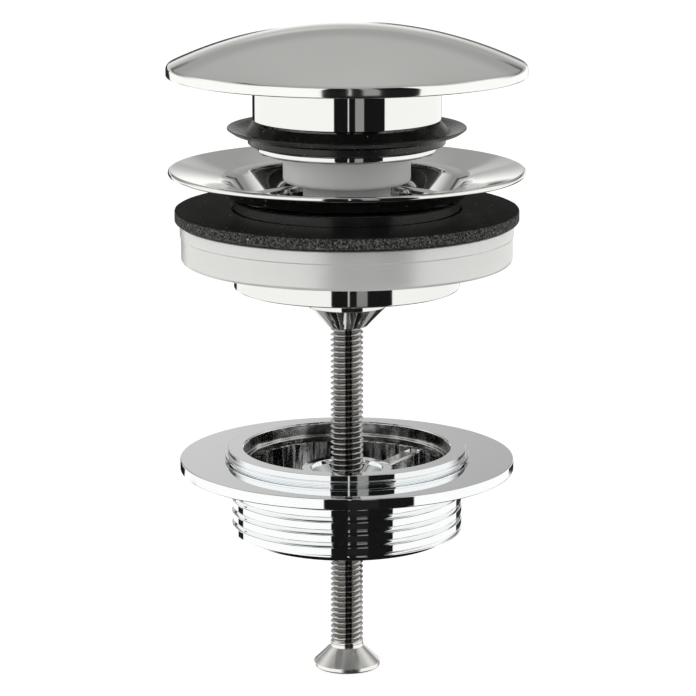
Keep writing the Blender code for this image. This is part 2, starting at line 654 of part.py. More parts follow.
def lower_body():
    """Chromed casting: flange, stepped collar, ledged bore, hub, arms and pipe thread."""
    land = COLLAR_LAND_RADIUS
    bead_top = COLLAR_HEIGHT - COLLAR_LAND_HEIGHT
    under = -LOWER_FLANGE_THICKNESS
    rim = LOWER_FLANGE_RADIUS
    edge = EDGE_ROUNDING
    neck = PIPE_THREAD_RADIUS - PIPE_THREAD_DEPTH
    thread = pipe_thread(under)
    tail_bottom = thread[-1][1] - LOWER_TAIL_PLAIN
    profile = [
        (MOUTH_RADIUS, COLLAR_HEIGHT),
        (land - edge, COLLAR_HEIGHT),
        (land, COLLAR_HEIGHT - edge),
        (land, bead_top),
        (BEAD_RADIUS - BEAD_ROUNDING, bead_top),
        (BEAD_RADIUS, bead_top - BEAD_ROUNDING),
        (BEAD_RADIUS, 0.0),
        (rim - edge, 0.0),
        (rim, -edge),
        (rim, under + edge),
        (rim - edge, under),
    ]
    profile += thread
    profile += [
        (neck, tail_bottom + LOWER_TAIL_CHAMFER),
        (neck - LOWER_TAIL_CHAMFER, tail_bottom),
        (LOWER_BORE_RADIUS, tail_bottom),
        (LOWER_BORE_RADIUS, COLLAR_HEIGHT - MOUTH_BORE_DEPTH - LEDGE_DROP),
        (LEDGE_RADIUS, COLLAR_HEIGHT - MOUTH_BORE_DEPTH - LEDGE_DROP),
        (LEDGE_RADIUS, COLLAR_HEIGHT - MOUTH_BORE_DEPTH),
        (MOUTH_BORE_RADIUS, COLLAR_HEIGHT - MOUTH_BORE_DEPTH),
        (MOUTH_BORE_RADIUS, COLLAR_HEIGHT - MOUTH_RADIUS + MOUTH_BORE_RADIUS),
    ]
    body = turned("lower_body", profile, LOWER, CHROME, FINE)
    top = -LOWER_HUB_DEPTH
    sink = SINK_RADIUS - SCREW_BORE_RADIUS
    bottom = top - 2 * sink - LOWER_HUB_WAIST
    hub = [
        (SINK_RADIUS, top),
        (LOWER_HUB_RADIUS - edge, top),
        (LOWER_HUB_RADIUS, top - edge),
        (LOWER_HUB_RADIUS, bottom),
        (SINK_RADIUS, bottom),
        (SCREW_BORE_RADIUS, bottom + sink),
        (SCREW_BORE_RADIUS, top - sink),
    ]
    combine(body, turned("lower_hub", hub, LOWER, None, MEDIUM), "UNION")
    start = LOWER_HUB_RADIUS - ARM_ROOT
    end = (LOWER_BORE_RADIUS + neck) / 2
    arm_top = COLLAR_HEIGHT - MOUTH_BORE_DEPTH - LEDGE_DROP - GAP / 3
    for side in (0, 1):
        centre = ((start + end) / 2, 0.0, arm_top - LOWER_ARM_HEIGHT / 2)
        size = (end - start, LOWER_ARM_WIDTH, LOWER_ARM_HEIGHT)
        arm = block(f"lower_arm_{side}", size, centre, LOWER)
        for corner in arm.data.vertices:
            if corner.co.x < centre[0]:
                corner.co.z -= LOWER_ARM_FALL
        arm.data.transform(Matrix.Rotation(LOWER_ARM_ANGLE + math.pi * side, 4, "Z"))
        combine(body, arm, "UNION")
    return body


def clamp_screw():
    """Countersunk screw, drawn plain at its outside diameter, with a cross recess."""
    cone_top = HEAD_LAND + HEAD_RADIUS - SCREW_RADIUS
    tip = SCREW_TIP_CHAMFER
    profile = [
        (0.0, SCREW_LENGTH),
        (SCREW_RADIUS - tip, SCREW_LENGTH),
        (SCREW_RADIUS, SCREW_LENGTH - tip),
        (SCREW_RADIUS, cone_top),
        (HEAD_RADIUS, HEAD_LAND),
        (HEAD_RADIUS, EDGE_ROUNDING),
        (HEAD_RADIUS - EDGE_ROUNDING, 0.0),
        (0.0, 0.0),
    ]
    screw = turned("clamp_screw", profile, SCREW, STEEL, COARSE, hollow=False)
    for side in (0, 1):
        size = (RECESS_LENGTH, RECESS_WIDTH, 2 * RECESS_DEPTH)
        cutter = block(f"recess_{side}", size, (0.0, 0.0, 0.0), SCREW, 0.0, math.pi / 2 * side)
        combine(screw, cutter, "DIFFERENCE")
    return screw


dome_cap()
plug_body()
plug_seal()
plug_base()
lock_nut()
plug_spindle()
cartridge_sleeve()
cartridge_body()
toothed_ring("latch_ring", LATCH_TOP, LATCH_RING_HEIGHT, LATCH_BOTTOM)
toothed_ring("latch_rotor", ROTOR_TOP, ROTOR_HEIGHT, ROTOR_TOP)
rotor_clip()
lift_spring()
upper_body()
flange_gasket()
seal_ring()
lower_body()
clamp_screw()
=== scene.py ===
import math

import bpy
import numpy as np
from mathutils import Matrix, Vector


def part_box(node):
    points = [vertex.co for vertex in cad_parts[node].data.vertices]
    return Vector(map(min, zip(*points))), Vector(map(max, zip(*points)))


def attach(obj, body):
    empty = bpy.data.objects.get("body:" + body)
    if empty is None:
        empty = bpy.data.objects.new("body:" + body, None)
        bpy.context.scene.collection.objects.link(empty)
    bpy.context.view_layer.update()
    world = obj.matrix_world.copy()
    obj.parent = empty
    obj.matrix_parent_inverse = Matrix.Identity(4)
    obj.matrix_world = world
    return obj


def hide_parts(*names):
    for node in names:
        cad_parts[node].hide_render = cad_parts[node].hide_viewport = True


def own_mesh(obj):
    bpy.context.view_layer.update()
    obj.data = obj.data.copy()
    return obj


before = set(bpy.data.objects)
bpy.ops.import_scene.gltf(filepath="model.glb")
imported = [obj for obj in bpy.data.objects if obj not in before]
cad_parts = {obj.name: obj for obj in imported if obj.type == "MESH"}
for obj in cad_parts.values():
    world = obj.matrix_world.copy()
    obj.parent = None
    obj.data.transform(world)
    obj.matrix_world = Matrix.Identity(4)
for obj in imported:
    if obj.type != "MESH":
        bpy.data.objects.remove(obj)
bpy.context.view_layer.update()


# The studio. A long lens looks slightly down on the pieces, which hang apart in the order they
# are fitted. The room is pale, with dark flags and a bright strip for the chrome to mirror.
class Link:
    """One output of a node tree, so that sums on it read as plain arithmetic."""

    def __init__(self, tree, socket):
        self.tree, self.socket = tree, socket

    def sum(self, operation, first, second):
        return self.tree.node("ShaderNodeMath", {"operation": operation}, {0: first, 1: second})

    def __add__(self, other):
        return self.sum("ADD", self, other)

    def __sub__(self, other):
        return self.sum("SUBTRACT", self, other)

    def __rsub__(self, other):
        return self.sum("SUBTRACT", other, self)

    def __mul__(self, other):
        return self.sum("MULTIPLY", self, other)

    def __truediv__(self, other):
        return self.sum("DIVIDE", self, other)

    __radd__, __rmul__ = __add__, __mul__


class Tree:
    """The nodes of a material or of the world."""

    def __init__(self, owner):
        owner.use_nodes = True
        self.owner, self.tree = owner, owner.node_tree
        self.tree.nodes.clear()

    def node(self, kind, settings=None, inputs=None, output=0):
        """Adds a node: its settings first, then the values or links of its sockets."""
        node = self.tree.nodes.new(kind)
        for name, value in (settings or {}).items():
            if name == "stops":
                ramp = node.color_ramp.elements
                while len(ramp) < len(value):
                    ramp.new(0.5)
                for stop, (place, colour) in zip(ramp, value):
                    stop.position, stop.color = place, colour
            else:
                setattr(node, name, value)
        for name, value in (inputs or {}).items():
            if isinstance(value, Link):
                self.tree.links.new(value.socket, node.inputs[name])
            else:
                node.inputs[name].default_value = value
        return Link(self, node.outputs[output]) if len(node.outputs) else node

    def rise(self, value, low, high, start=0.0, end=1.0):
        """Eases from start to end as value goes from low to high."""
        return self.node(
            "ShaderNodeMapRange",
            {"interpolation_type": "SMOOTHSTEP"},
            {"Value": value, "From Min": low, "From Max": high, "To Min": start, "To Max": end},
        )

    def strip(self, value, low, high, soft):
        """One between low and high, nought outside, with soft edges."""
        up = self.rise(value, low - soft, low + soft)
        return up * self.rise(value, high - soft, high + soft, 1.0, 0.0)

    def between(self, first, second, share):
        """A colour between two colours or links."""
        inputs = {0: share, 6: first, 7: second}
        return self.node("ShaderNodeMix", {"data_type": "RGBA"}, inputs, 2)

    def noise(self, place, scale, detail):
        """Noise between nought and one, finer with scale."""
        inputs = {"Vector": place, "Scale": scale, "Detail": detail}
        return self.node("ShaderNodeTexNoise", None, inputs)

    def surfaced(self, coat):
        """Ends a material with one surface, and returns the material."""
        surface = self.node("ShaderNodeBsdfPrincipled", None, coat)
        self.node("ShaderNodeOutputMaterial", None, {"Surface": surface})
        return self.owner

    def parts(self, vector):
        """The x, y and z of a vector."""
        split = self.node("ShaderNodeSeparateXYZ", None, {0: vector})
        return [Link(self, part) for part in split.socket.node.outputs]

    def size(self, value):
        """A value without its sign."""
        return self.node("ShaderNodeMath", {"operation": "ABSOLUTE"}, {0: value})


CAMERA_PLACE = (0.0002, -0.545, 0.1788)
CAMERA_PITCH = 12.3
FOCAL_PIXELS = 3080.0
PICTURE_PIXELS = 696.0

camera = bpy.data.objects.new("camera", bpy.data.cameras.new("camera"))
camera.data.sensor_width = 36.0
camera.data.lens = camera.data.sensor_width * FOCAL_PIXELS / PICTURE_PIXELS
camera.location = CAMERA_PLACE
camera.rotation_euler = (math.radians(90.0 - CAMERA_PITCH), 0.0, 0.0)
bpy.context.scene.collection.objects.link(camera)
bpy.context.scene.camera = camera
bpy.context.scene.view_settings.view_transform = "Standard"

# What the chrome mirrors, read off the photograph piece by piece. Angles are in degrees. Azimuth 0
# is towards the camera and grows to the picture's right; turned is the azimuth without its sign.
WALL = 1.08
GROUND, GROUND_EDGE = 0.008, (-48.0, -32.0)
# Flags and strip lights on the wall: (from azimuth, to azimuth, brightness)
FLAGS = (
    (-15.6, 46.6, 0.008),
    (1.2, 2.5, 0.80),
    (10.0, 20.6, 0.30),
    (-177.0, -152.0, 0.020),
    (169.0, 179.0, 0.12),
)
FLAG_SOFTNESS = 0.5
# Flags near the ground, for the lower pieces only: (from, to, brightness, top, softness of the top)
LOW_FLAGS = (
    (0.5, 21.5, 0.014, -12.0, 1.0),
    (-181.0, -146.0, WALL, -14.85, 0.05),
    (-141.0, -128.0, 0.012, -14.85, 0.05),
    (143.0, 181.0, 0.030, -14.85, 0.05),
)
# A low dark edge behind, for the ends of the lower flange: (low, high, least turned, brightness)
BACK_EDGE = (-14.62, -12.6, 150.0, 0.012)
# A dark edge higher up, for the ends of its collar: (low, high, from turned, to turned, brightness)
HIGH_EDGE = (12.8, 15.8, 137.0, 168.0, 0.10)
# The paper behind the object: (height, brightness)
BACKDROP = (
    (4.5, 1.0), (7.0, 0.80), (9.5, 0.58), (12.0, 0.44),
    (16.0, 0.345), (21.0, 0.345), (27.0, 0.43), (60.0, 0.46),
)
# It is dimmer at its sides, (from turned, to turned, share left), and low down in two places,
# (from azimuth, to azimuth, top, share taken)
BACKDROP_SIDES = (145.0, 172.0, 0.84)
BACKDROP_DIM = ((120.0, 175.0, 13.0, 0.24), (-172.0, -120.0, 9.0, 0.12))
# A glow in its middle: (low, high, softness), and its brightness at the left and at the right
MIDDLE_BAND, MIDDLE_GLOW = (12.6, 15.9, 0.8), (0.22, 0.05)
# Where the side starts and where the back does, in degrees turned, and the top edge of the wall
# at the back, at the sides and in front
SIDE_TURN, BACK_TURN = (55.0, 80.0), (112.0, 140.0)
BACK_TOP, SIDE_TOP, FRONT_TOP = (2.0, 5.0), (28.0, 54.0), (48.0, 64.0)
# A dark gap under the ceiling at the left: (from azimuth, to azimuth, low, high, share taken)
CEILING_GAP = (-125.0, -6.0, 51.0, 57.0, 0.85)
DIFFUSE_GAIN = 1.25

room = bpy.data.worlds.new("room")
bpy.context.scene.world = room
sky = Tree(room)
x, y, z = sky.parts(sky.node("ShaderNodeTexCoord"))
azimuth = sky.node("ShaderNodeMath", {"operation": "ARCTAN2"}, {0: x, 1: y * -1.0}) * math.degrees(1.0)
elevation = sky.node("ShaderNodeMath", {"operation": "ARCSINE"}, {0: z}) * math.degrees(1.0)
turned_away = sky.size(azimuth)

wall = WALL
for start, stop, level in FLAGS:
    wall = wall + (level - wall) * sky.strip(azimuth, start, stop, FLAG_SOFTNESS)
for start, stop, level, top, soft in LOW_FLAGS:
    low_band = sky.rise(elevation, top - soft, top + soft, 1.0, 0.0)
    wall = wall + (level - wall) * sky.strip(azimuth, start, stop, FLAG_SOFTNESS) * low_band
low, high, least, level = BACK_EDGE
back_edge = sky.rise(turned_away, least - FLAG_SOFTNESS, least + FLAG_SOFTNESS)
wall = wall + (level - wall) * (sky.strip(elevation, low, high, 0.06) * back_edge)

stops = [(height / 90.0, (level, level, level, 1.0)) for height, level in BACKDROP]
paper_light = sky.node("ShaderNodeValToRGB", {"stops": stops}, {0: elevation / 90.0})
dimming = 1.0
for start, stop, top, share in BACKDROP_DIM:
    low_patch = sky.strip(azimuth, start, stop, 2.0) * sky.strip(elevation, 3.0, top, 1.5)
    dimming = dimming - low_patch * share
start, stop, share = BACKDROP_SIDES
paper_light = paper_light * WALL * sky.rise(turned_away, start, stop, share, 1.0) * dimming
low, high, start, stop, level = HIGH_EDGE
high_edge = sky.strip(turned_away, start, stop, 1.0) * sky.strip(elevation, low, high, 0.3)
paper_light = paper_light + (level - paper_light) * high_edge
middle = sky.rise(turned_away, 171.0, 175.0) * sky.strip(elevation, *MIDDLE_BAND)
paper_light = paper_light + middle * sky.rise(x, -0.06, 0.06, *MIDDLE_GLOW)

behind = sky.rise(turned_away, *BACK_TURN)
side = sky.rise(turned_away, *SIDE_TURN) * (1.0 - behind)
front = 1.0 - behind - side
above = behind * sky.rise(elevation, *BACK_TOP) + side * sky.rise(elevation, *SIDE_TOP)
above = above + front * sky.rise(elevation, *FRONT_TOP)
room_light = wall + (paper_light - wall) * above
start, stop, low, high, share = CEILING_GAP
gap = sky.strip(azimuth, start, stop, 6.0) * sky.strip(elevation, low, high, 1.5)
room_light = room_light * (1.0 - gap * share)
room_light = room_light + (GROUND - room_light) * sky.rise(elevation, *GROUND_EDGE, 1.0, 0.0)

path = "ShaderNodeLightPath"
seen = sky.node(path, None, None, "Is Camera Ray")
soft_ray = sky.node(path, None, None, "Is Diffuse Ray")
strength = room_light * (1.0 + soft_ray * (DIFFUSE_GAIN - 1.0))
strength = strength + (1.0 - strength) * seen
tint = sky.between((1.0, 0.994, 0.972, 1.0), (1.0, 1.0, 1.0, 1.0), seen)
glow = sky.node("ShaderNodeBackground", None, {"Color": tint, "Strength": strength})
sky.node("ShaderNodeOutputWorld", None, {"Surface": glow})

REACH = 6.0
floor_mesh = bpy.data.meshes.new("floor")
floor_corners = [(-REACH, -REACH, 0), (REACH, -REACH, 0), (REACH, REACH, 0), (-REACH, REACH, 0)]
floor_mesh.from_pydata(floor_corners, [], [(0, 1, 2, 3)])
floor = bpy.data.objects.new("floor", floor_mesh)
bpy.context.scene.collection.objects.link(floor)

paper = Tree(bpy.data.materials.new("white_paper"))
matt = paper.node("ShaderNodeBsdfDiffuse", None, {"Color": (0.55, 0.55, 0.55, 1.0)})
lit = paper.node("ShaderNodeEmission", None, {"Color": (1.0, 1.0, 1.0, 1.0), "Strength": 0.74})
page = paper.node("ShaderNodeAddShader", None, {0: matt, 1: lit})
through = paper.node("ShaderNodeBsdfTransparent")
glossy_ray = paper.node(path, None, None, "Is Glossy Ray")
clear_ray = paper.node(path, None, None, "Is Transmission Ray")
glossy_ray = paper.node("ShaderNodeMath", {"operation": "MAXIMUM"}, {0: glossy_ray, 1: clear_ray})
page = paper.node("ShaderNodeMixShader", None, {0: glossy_ray, 1: page, 2: through})
paper.node("ShaderNodeOutputMaterial", None, {"Surface": page})
floor_mesh.materials.append(paper.owner)


# Upper body, cast brass, chromed: a dished flange that lies in the basin's outlet, a tail below
# it, and a hub on two arms that carries the cartridge and takes the screw from underneath.
MM = 0.001
CREST = 94.2
SEGMENTS = 256


def rounded(corners, ring=False, degrees=7.0):
    """A path through corners (radius, height, rounding), in mm. At a corner with a rounding the path
    turns on an arc that touches both its sides; at one without, it passes smoothly through. Returns
    the points and the normals, at right angles to the path on the side away from the material."""
    places = [np.array(corner[:2], float) for corner in corners]
    sizes = [corner[2] for corner in corners]
    count = len(places)
    loop = sum(a[0] * b[1] - b[0] * a[1] for a, b in zip(places, places[1:] + places[:1]))
    if loop < 0:
        places, sizes = places[::-1], sizes[::-1]
    points, normals = [], []
    for i, (place, size) in enumerate(zip(places, sizes)):
        before, after = places[i - 1], places[(i + 1) % count]
        if not ring and i == 0:
            before = 2 * place - after
        if not ring and i == count - 1:
            after = 2 * place - before
        into, out = place - before, after - place
        into, out = into / np.hypot(*into), out / np.hypot(*out)
        turn = math.atan2(into[0] * out[1] - into[1] * out[0], into @ out)
        if size == 0 or abs(turn) < 0.02:
            along = (into + out) / np.hypot(*(into + out))
            points.append(place[None])
            normals.append(np.array([[along[1], -along[0]]]))
            continue
        steps = max(2, math.ceil(abs(turn) / math.radians(degrees)))
        bend = math.atan2(into[1], into[0]) + turn * np.linspace(0, 1, steps + 1)
        lean = np.stack([np.sin(bend), -np.cos(bend)], axis=1)
        side = math.copysign(size, turn)
        centre = place - into * size * math.tan(abs(turn) / 2) - side * lean[0]
        points.append(centre + side * lean)
        normals.append(lean)
    return np.concatenate(points), np.concatenate(normals), ring


def arc(radius, height, size, start, end, steps):
    """Corners on an arc about (radius, height), from one angle to another in degrees."""
    angles = np.radians(np.linspace(start, end, steps + 1))
    return [(radius + size * math.cos(a), height + size * math.sin(a), 0) for a in angles]


def turned(corners, level, ring=False, segments=SEGMENTS, degrees=7.0):
    """The path carried once round the axis: a point (r, h) at angle a is (r cos a, r sin a, h)."""
    path_points, path_normals, ring = rounded(corners, ring, degrees)
    angle = np.arange(segments) * math.tau / segments
    spin = np.stack([np.cos(angle), np.sin(angle)], axis=-1)[None]
    place = np.empty((len(path_points), segments, 3))
    place[..., :2] = path_points[:, :1, None] * spin
    place[..., 2] = path_points[:, 1:] + level
    lean = np.empty_like(place)
    lean[..., :2] = path_normals[:, :1, None] * spin
    lean[..., 2] = path_normals[:, 1:]
    return place, lean, ring


def bar(start, end, width, height, angle, level, fall=0.0, rounding=0.5):
    """A bar with a rounded oblong section, carried out from radius start to end at an angle about the
    axis. Its top is at level where it ends, and lower by fall where it starts. Its ends are closed."""
    half, low = width / 2, -height
    oblong = [(half, low), (half, 0.0), (-half, 0.0), (-half, low)]
    section, lean, _ = rounded([(*corner, rounding) for corner in oblong], True)
    reach = np.array([start, start, end, end])
    scale = np.array([0.0, 1.0, 1.0, 0.0])[:, None]
    middle = np.array([0.0, low / 2])
    across = middle + (section - middle)[None] * scale[..., None]
    drop = -fall * (end - reach) / (end - start)
    place = np.empty((4, len(section), 3))
    place[..., 0] = reach[:, None]
    place[..., 1] = across[..., 0]
    place[..., 2] = across[..., 1] + drop[:, None] + level
    normal = np.zeros_like(place)
    normal[1:3, :, 1:] = lean
    normal[0, :, 0], normal[3, :, 0] = -1.0, 1.0
    turn = math.radians(angle)
    cos, sin = math.cos(turn), math.sin(turn)
    spin = np.array([[cos, sin, 0], [-sin, cos, 0], [0, 0, 1]])
    return place @ spin, normal @ spin, False


def piece(name, finish, *sheets):
    """One object made of sheets of points (row, column). Four neighbours make a face. Columns close on
    themselves, and so do the rows of a ring. A row drawn together in one point is a pole of triangles."""
    points, normals, quads, corners = [], [], [], []
    count = 0
    for place, lean, ring in sheets:
        rows, columns = place.shape[:2]
        index = count + np.arange(rows * columns).reshape(rows, columns)
        pole = np.ptp(place, axis=1).max(axis=1) < 1e-7
        index[pole] = index[pole, :1]
        low = index if ring else index[:-1]
        high = np.roll(index, -1, axis=0) if ring else index[1:]
        face = np.stack([low, np.roll(low, -1, 1), np.roll(high, -1, 1), high], axis=-1).reshape(-1, 4)
        at_low, at_high = face[:, 0] == face[:, 1], face[:, 2] == face[:, 3]
        quads.append(face[~at_low & ~at_high])
        corners.append(face[at_low][:, [0, 2, 3]])
        corners.append(face[at_high][:, [0, 1, 2]])
        points.append(place.reshape(-1, 3))
        normals.append(lean.reshape(-1, 3))
        count += rows * columns
    quads, corners = np.concatenate(quads), np.concatenate(corners)
    used = np.unique(np.concatenate([quads.ravel(), corners.ravel()]))
    fresh = np.zeros(count, int)
    fresh[used] = np.arange(len(used))
    points, normals = np.concatenate(points)[used], np.concatenate(normals)[used]
    made = bpy.data.meshes.new(name)
    made.from_pydata(points * MM, [], fresh[quads].tolist() + fresh[corners].tolist())
    made.polygons.foreach_set("use_smooth", np.ones(len(made.polygons), bool))
    made.normals_split_custom_set_from_vertices(normals)
    made.materials.append(finish)
    made.update()
    shown = bpy.data.objects.new(name, made)
    bpy.context.scene.collection.objects.link(shown)
    return shown


def chromed(name, roughness, bore=None, tint=(1.0, 1.0, 0.995), mouth=None):
    """Chrome plate on brass: near white, with a trace of haze. The wall of a bore, given as (least
    radius, largest radius, bottom, top), was left as cast: dull and streaked up and down, and softly
    clouded above the height mouth. The near black of the streaks and the dark of the clouds are also
    painted shade for the dark inside of the bore. Its ledges and the tops of its arms are bright."""
    plate = Tree(bpy.data.materials.new(name))
    place = plate.node("ShaderNodeTexCoord", None, None, "Object")
    haze = plate.noise(place, 90.0, 3.0)
    dim, bright = (tuple(share * part for part in tint) + (1.0,) for share in (0.91, 0.95))
    colour = plate.between(dim, bright, haze)
    dull = roughness * (0.7 + haze * 0.6)
    relief = plate.noise(place, 60.0, 1.0)
    if bore:
        least, largest, bottom, top = (part * MM for part in bore)
        x, y, z = plate.parts(place)
        out = plate.node("ShaderNodeMath", {"operation": "SQRT"}, {0: x * x + y * y})
        inside = plate.strip(out, least, largest, 0.05 * MM)
        inside = inside * plate.strip(z, bottom, top, 0.15 * MM)
        streaks = plate.node("ShaderNodeMapping", None, {"Vector": place, "Scale": (1.0, 1.0, 0.15)})
        grain = plate.noise(streaks, 900.0, 6.0)
        # Cast streaks from near black to white; the near black is painted shade inside the bore.
        black, white = (0.03, 0.03, 0.03, 1.0), (1.0, 1.0, 0.99, 1.0)
        cast_and_shade = plate.between(black, white, plate.rise(grain, 0.42, 0.64))
        if mouth:
            # Soft dark-to-pale clouds above the mouth: painted shade in the top of the bore.
            dark, pale = (0.10, 0.10, 0.095, 1.0), (0.62, 0.62, 0.60, 1.0)
            clouds_and_shade = plate.between(dark, pale, plate.rise(plate.noise(place, 300.0, 2.0), 0.38, 0.66))
            cast_and_shade = plate.between(cast_and_shade, clouds_and_shade, plate.rise(z, (mouth - 0.05) * MM, (mouth + 0.05) * MM))
        upward = plate.parts(plate.node("ShaderNodeNewGeometry", None, None, "Normal"))[2]
        inside = inside * plate.rise(plate.size(upward), 0.3, 0.6, 1.0, 0.0)
        colour = plate.between(colour, cast_and_shade, inside)
        dull = dull + (0.20 - dull) * inside
        relief = relief + (grain * 12.0 - relief) * inside
    bump = plate.node("ShaderNodeBump", None, {"Strength": 0.2, "Distance": 0.00001, "Height": relief})
    coat = {"Base Color": colour, "Metallic": 1.0, "Roughness": dull, "Normal": bump}
    return plate.surfaced(coat)


DISH_FALL = 10.8
FLANGE = [(20.35, -22.8, 0.3), (20.35, -6.8, 0.3), (24.0, -3.6, 0.2), (26.5, -3.6, 0.3)]
FLANGE += arc(31.5, -1.8, 0.5, -90, 90 + DISH_FALL, 14)
FLANGE += [(21.8, -3.15, 3.0), (19.0, -7.2, 0.3), (17.9, -7.5, 0.2), (17.4, -8.1, 0.2), (17.4, -22.8, 0.3)]
HUB = [(6.3, -15.5, 0.2), (9.6, -15.5, 0.3), (9.6, -21.5, 0.3), (7.5, -23.6, 0.2), (7.3, -26.2, 0.2)]
HUB += [(4.7, -28.9, 0.6), (3.7, -30.0, 0.15), (3.3, -30.0, 0.1), (3.3, -23.2, 0.1), (0.0, -23.2, 0)]
HUB = [(0.0, -21.3, 0), (6.3, -21.3, 0.2)] + HUB

# Its chrome is tinted darker than the other chromed pieces: a painted shade that dims the flange's
# reflections.
basin_flange = piece(
    "basin_flange",
    chromed("chrome_upper", 0.05, (17.1, 17.95, CREST - 22.6, CREST - 7.55), (0.88, 0.88, 0.872)),
    turned(FLANGE, CREST, True),
    turned(HUB, CREST),
    *(bar(8.8, 18.8, 3.6, 5.4, angle, CREST - 15.8) for angle in (0.0, 180.0)),
)
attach(basin_flange, "root")
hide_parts("upper_body")


# Cartridge, moulded plastic, screwed into the hub: a tube with a hexagon, a toothed ring fixed in
# it, and the rotor that turns an eighth and latches on the teeth each time the cap is pressed.
def moulded(name, colour, roughness):
    """Injection-moulded plastic: one colour with faint flow clouds and a very fine grain."""
    plastic = Tree(bpy.data.materials.new(name))
    place = plastic.node("ShaderNodeTexCoord", None, None, "Object")
    cloud = plastic.noise(place, 120.0, 4.0)
    grain = plastic.noise(place, 2600.0, 2.0)
    dark = tuple(0.93 * c for c in colour) + (1.0,)
    pale = tuple(min(1.0, 1.05 * c) for c in colour) + (1.0,)
    shade = plastic.between(dark, pale, cloud)
    bump = plastic.node("ShaderNodeBump", None, {"Strength": 0.3, "Distance": 0.00003, "Height": grain})
    coat = {"Base Color": shade, "Roughness": roughness + cloud * 0.1, "Normal": bump}
    return plastic.surfaced(coat)


def refinish(node, finish):
    """Gives a CAD node that stays in view its procedural finish."""
    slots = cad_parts[node].data.materials
    slots.clear()
    slots.append(finish)


GREY_PLASTIC = moulded("grey_plastic", (0.30, 0.31, 0.32), 0.38)
WHITE_PLASTIC = moulded("white_plastic", (0.74, 0.75, 0.74), 0.34)
refinish("cartridge_body", WHITE_PLASTIC)
refinish("latch_ring", WHITE_PLASTIC)
refinish("latch_rotor", GREY_PLASTIC)


# Lift spring, stainless wire coiled round the tube. It pushes the sleeve, and the plug with it,
# up against its stop, and shortens as the cap is pressed.
SPRING_TURNS, SPRING_MEAN, SPRING_WIRE = 5, 9.075, 0.45


def steel(name, colour, roughness, scale, roots=None, pressed=0.0):
    """Bare stainless steel: grey, drawn or turned, with fine rings and slightly uneven gloss. Between the
    two radii of roots it darkens inwards, a painted shade in a thread's grooves. Below the height
    pressed it was struck in a die: duller and blotched."""
    metal = Tree(bpy.data.materials.new(name))
    place = metal.node("ShaderNodeTexCoord", None, None, "Object")
    flat = metal.node("ShaderNodeMapping", None, {"Vector": place, "Scale": scale})
    rings = metal.noise(flat, 420.0, 5.0)
    dark = tuple(0.86 * c for c in colour) + (1.0,)
    shade = metal.between(dark, (*colour, 1.0), rings)
    if roots:
        x, y, _ = metal.parts(place)
        out = metal.node("ShaderNodeMath", {"operation": "SQRT"}, {0: x * x + y * y})
        unshaded = metal.rise(out, roots[0] * MM, roots[1] * MM)
        # Towards the roots the colour goes to near black: painted shade in the thread's grooves.
        shade = metal.between((0.11, 0.105, 0.10, 1.0), shade, unshaded)
    bump = metal.node("ShaderNodeBump", None, {"Strength": 0.15, "Distance": 0.00001, "Height": rings})
    dull = roughness + rings * 0.06
    if pressed:
        up = metal.parts(place)[2]
        blotch = metal.noise(place, 700.0, 4.0)
        struck = metal.rise(up, (pressed - 0.2) * MM, (pressed + 0.2) * MM, 1.0, 0.0)
        dull = dull + struck * (0.07 + blotch * 0.10)
    coat = {"Base Color": shade, "Metallic": 1.0, "Roughness": dull, "Normal": bump}
    return metal.surfaced(coat)


def coil(mean, wire, low, high, turns, around=12, along=48):
    """A round wire on a helix: at share t of its length the wire's centre stands at angle 2 pi turns t
    and height low + (high - low) t. Each ring of points is level with the axis; the ends are closed."""
    t = np.linspace(0, 1, turns * along + 1)
    t = np.concatenate([t[:1], t, t[-1:]])
    size = np.full(len(t), wire)
    size[[0, -1]] = 0.0
    angle = math.tau * turns * t
    lean = np.arange(around) * math.tau / around
    out = np.cos(lean)[None] * np.ones(len(t))[:, None]
    up = np.sin(lean)[None] * np.ones(len(t))[:, None]
    radius = mean + size[:, None] * out
    cos, sin = np.cos(angle)[:, None], np.sin(angle)[:, None]
    height = (low + (high - low) * t)[:, None] + size[:, None] * up
    place = np.stack([radius * cos, radius * sin, height], axis=-1)
    normal = np.stack([out * cos, out * sin, up], axis=-1)
    along_wire = np.stack([-np.sin(angle), np.cos(angle), 0 * angle], axis=-1)
    normal[0], normal[-1] = -along_wire[0], along_wire[-1]
    return place[:, ::-1], normal[:, ::-1], False


STEEL_WIRE = steel("steel_wire", (0.76, 0.75, 0.73), 0.16, (1.0, 1.0, 1.0))
spring_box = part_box("lift_spring")
spring_low, spring_high = spring_box[0][2] / MM + SPRING_WIRE, spring_box[1][2] / MM - SPRING_WIRE
return_spring = piece(
    "return_spring", STEEL_WIRE, coil(SPRING_MEAN, SPRING_WIRE, spring_low, spring_high, SPRING_TURNS))
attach(return_spring, "root")
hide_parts("lift_spring")
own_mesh(return_spring)


# Sleeve, white plastic, closed on top: it slides on the tube, covers the spring and lifts the
# spindle. Its lower lip hooks under the tube's stop.
SLEEVE = [(2.8, 14.5, 0.2), (11.45, 14.5, 0.4), (11.45, -3.6, 0.7), (8.15, -3.6, 0.2), (8.15, -2.7, 0.1)]
SLEEVE += [(10.3, -2.7, 0.1), (10.3, 12.0, 0.2), (2.8, 12.0, 0.1)]
guide_sleeve = piece(
    "guide_sleeve", moulded("sleeve_plastic", (0.98, 0.98, 0.97), 0.42), turned(SLEEVE, CREST, True))
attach(guide_sleeve, "slider")
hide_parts("cartridge_sleeve")


# Spindle, turned stainless steel: its thread takes the lock nut and the cap, its rod runs down
# through the rotor, and a clip in its groove holds the rotor on.
SPINDLE_TOP, THREAD_END = 22.0, 14.8


